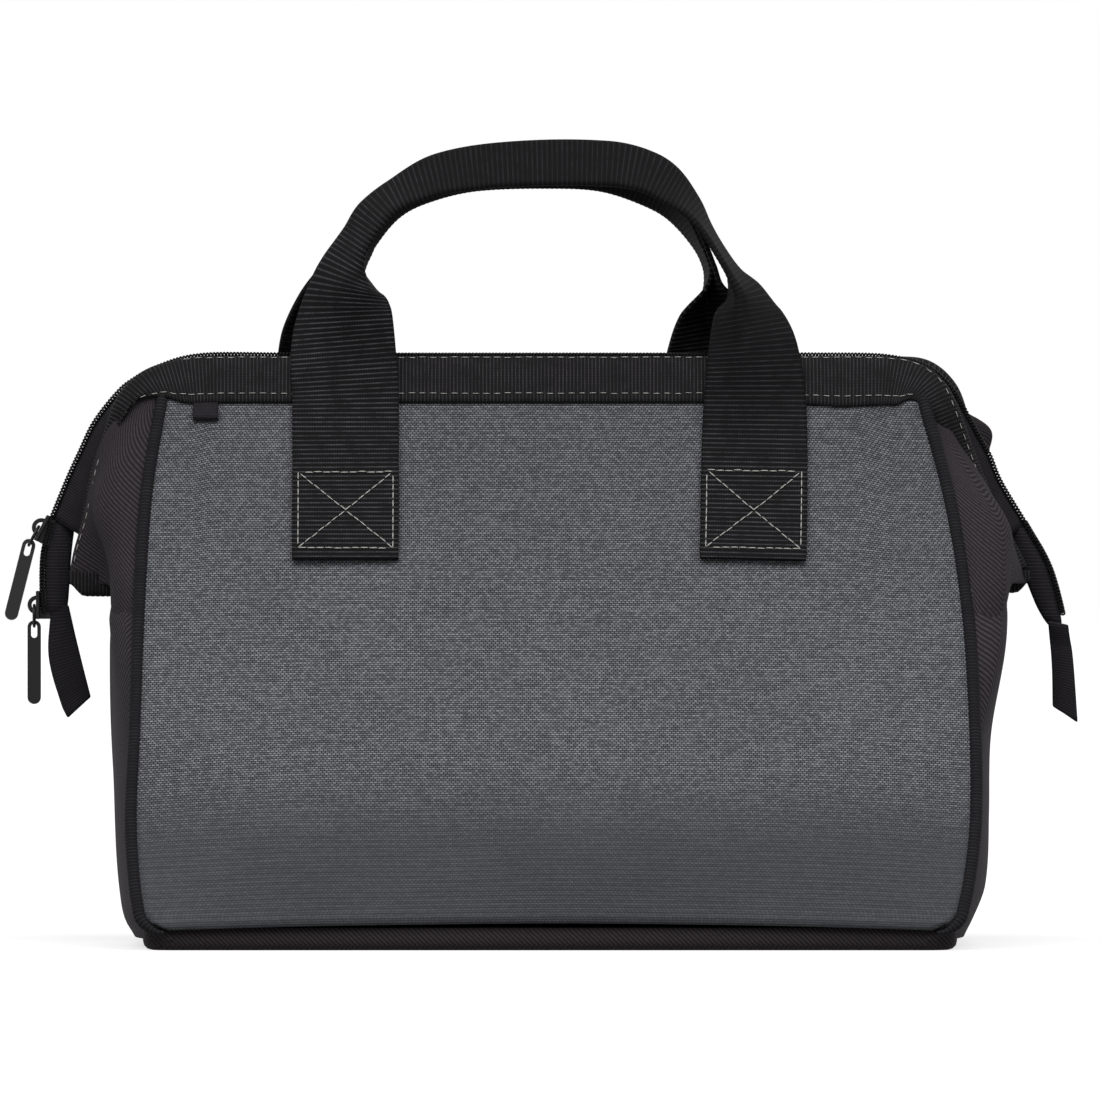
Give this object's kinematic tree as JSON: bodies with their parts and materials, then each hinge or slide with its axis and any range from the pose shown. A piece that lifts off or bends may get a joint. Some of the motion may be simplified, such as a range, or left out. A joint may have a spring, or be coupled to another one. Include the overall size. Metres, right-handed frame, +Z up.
{
  "type": "zippered tool bag",
  "caption": "Wide-mouth cloth tool bag with a hinged wire frame in its rim, a zip over the mouth and webbing carry handles.",
  "frame": {"origin": "on the floor, under the centre of the base", "axes": "+X to the bag's right seen from the front, along its length; -Y to the front; +Z up"},
  "size_m": [0.3863, 0.1946, 0.2865],
  "materials": {
    "grey_cloth": "slate grey ballistic polyester with a plain weave and fine light flecks",
    "black_cloth": "black polyester twill",
    "piping": "black woven binding tape over a cord",
    "black_webbing": "black ribbed polyester webbing with off-white stitching",
    "zip_tape": "black woven zip tape",
    "zip_coil": "black nylon coil with a slight sheen",
    "black_metal": "black enamelled zinc",
    "spring_steel": "drawn spring steel wire",
    "board": "black polypropylene board"
  },
  "bodies": {
    "base": {"bottom_panel": "black_cloth", "base_board": "board", "left_end_panel": "black_cloth", "right_end_panel": "black_cloth"},
    "front_panel": {"front_panel": "grey_cloth", "front_left_piping": "piping", "front_right_piping": "piping", "front_rim_binding": "black_webbing", "front_zip_tape": "zip_tape", "front_zip_coil": "zip_coil", "front_left_gusset": "black_cloth", "front_right_gusset": "black_cloth", "front_left_gusset_tuck": "black_cloth", "front_right_gusset_tuck": "black_cloth", "front_left_handle_foot": "black_webbing", "front_right_handle_foot": "black_webbing", "small_loop": "black_webbing"},
    "front_frame": {"front_frame_wire": "spring_steel", "front_left_leg_binding": "black_webbing", "front_right_leg_binding": "black_webbing", "front_left_leg_tape": "zip_tape", "front_right_leg_tape": "zip_tape", "front_left_leg_coil": "zip_coil", "front_right_leg_coil": "zip_coil"},
    "rear_panel": {"rear_panel": "grey_cloth", "rear_left_piping": "piping", "rear_right_piping": "piping", "rear_rim_binding": "black_webbing", "rear_zip_tape": "zip_tape", "rear_zip_coil": "zip_coil", "rear_left_gusset": "black_cloth", "rear_right_gusset": "black_cloth", "rear_left_gusset_tuck": "black_cloth", "rear_right_gusset_tuck": "black_cloth", "rear_left_handle_foot": "black_webbing", "rear_right_handle_foot": "black_webbing"},
    "rear_frame": {"rear_frame_wire": "spring_steel", "rear_left_leg_binding": "black_webbing", "rear_right_leg_binding": "black_webbing", "rear_left_leg_tape": "zip_tape", "rear_right_leg_tape": "zip_tape", "rear_left_leg_coil": "zip_coil", "rear_right_leg_coil": "zip_coil"},
    "front_handle": {"front_handle": "black_webbing"},
    "rear_handle": {"rear_handle": "black_webbing"},
    "mouth_ends": {"left_hinge_fold": "black_webbing", "right_hinge_fold": "black_webbing", "left_zip_tail": "zip_coil", "right_zip_tail": "zip_coil"},
    "left_end_tab": {"left_end_tab": "black_webbing"},
    "right_end_tab": {"right_end_tab": "black_webbing"},
    "upper_slider": {"upper_slider": "black_metal", "upper_pull_ring": "black_metal"},
    "upper_pull": {"upper_pull": "black_metal"},
    "lower_slider": {"lower_slider": "black_metal", "lower_pull_ring": "black_metal"},
    "lower_pull": {"lower_pull": "black_metal"}
  },
  "joints": [
    {"name": "mouth_open", "type": "hinge", "parent": "base", "child": "front_panel", "pos_m": [0, -0.0945, 0.0084], "axis": [1, 0, 0], "range_deg": [0, 18]},
    {"name": "front_frame_turn", "type": "hinge", "parent": "front_panel", "child": "front_frame", "pos_m": [0, -0.0111, 0.203], "axis": [1, 0, 0], "range_deg": [0, 42]},
    {"name": "rear_panel_swing", "type": "hinge", "parent": "base", "child": "rear_panel", "pos_m": [0, 0.0945, 0.0084], "axis": [-1, 0, 0], "range_deg": [0, 18]},
    {"name": "rear_frame_turn", "type": "hinge", "parent": "rear_panel", "child": "rear_frame", "pos_m": [0, 0.0111, 0.203], "axis": [-1, 0, 0], "range_deg": [0, 42]},
    {"name": "mouth_ends_rise", "type": "slide", "parent": "base", "child": "mouth_ends", "axis": [0, 0, 1], "range_m": [0, 0.051]},
    {"name": "front_handle_fold", "type": "hinge", "parent": "front_panel", "child": "front_handle", "pos_m": [0, -0.01331, 0.21308], "axis": [1, 0, 0], "range_deg": [0, 140]},
    {"name": "rear_handle_fold", "type": "hinge", "parent": "rear_panel", "child": "rear_handle", "pos_m": [0, 0.01331, 0.21308], "axis": [-1, 0, 0], "range_deg": [0, 140]},
    {"name": "left_end_tab_swing", "type": "hinge", "parent": "mouth_ends", "child": "left_end_tab", "pos_m": [-0.17463, 0, 0.10785], "axis": [0, 1, 0], "range_deg": [-10, 10]},
    {"name": "right_end_tab_swing", "type": "hinge", "parent": "mouth_ends", "child": "right_end_tab", "pos_m": [0.18183, 0, 0.10785], "axis": [0, 1, 0], "range_deg": [-30, 20]},
    {"name": "upper_slider_slide", "type": "slide", "parent": "mouth_ends", "child": "upper_slider", "axis": [0.4664, 0, 0.8846], "range_m": [0, 0.01]},
    {"name": "upper_pull_swing", "type": "hinge", "parent": "upper_slider", "child": "upper_pull", "pos_m": [-0.18655, 0, 0.14233], "axis": [0, 1, 0], "range_deg": [0, 100]},
    {"name": "lower_slider_slide", "type": "slide", "parent": "mouth_ends", "child": "lower_slider", "axis": [0, 0, 1], "range_m": [0, 0.006]},
    {"name": "lower_pull_swing", "type": "hinge", "parent": "lower_slider", "child": "lower_pull", "pos_m": [-0.18463, 0, 0.1133], "axis": [0, 1, 0], "range_deg": [0, 100]}
  ],
  "couplings": [
    {"joint": "front_frame_turn", "follows": "mouth_open", "ratio": 2.3333},
    {"joint": "rear_panel_swing", "follows": "mouth_open", "ratio": 1},
    {"joint": "rear_frame_turn", "follows": "mouth_open", "ratio": 2.3333},
    {"joint": "mouth_ends_rise", "follows": "mouth_open", "m_per_rad": 0.16234}
  ]
}
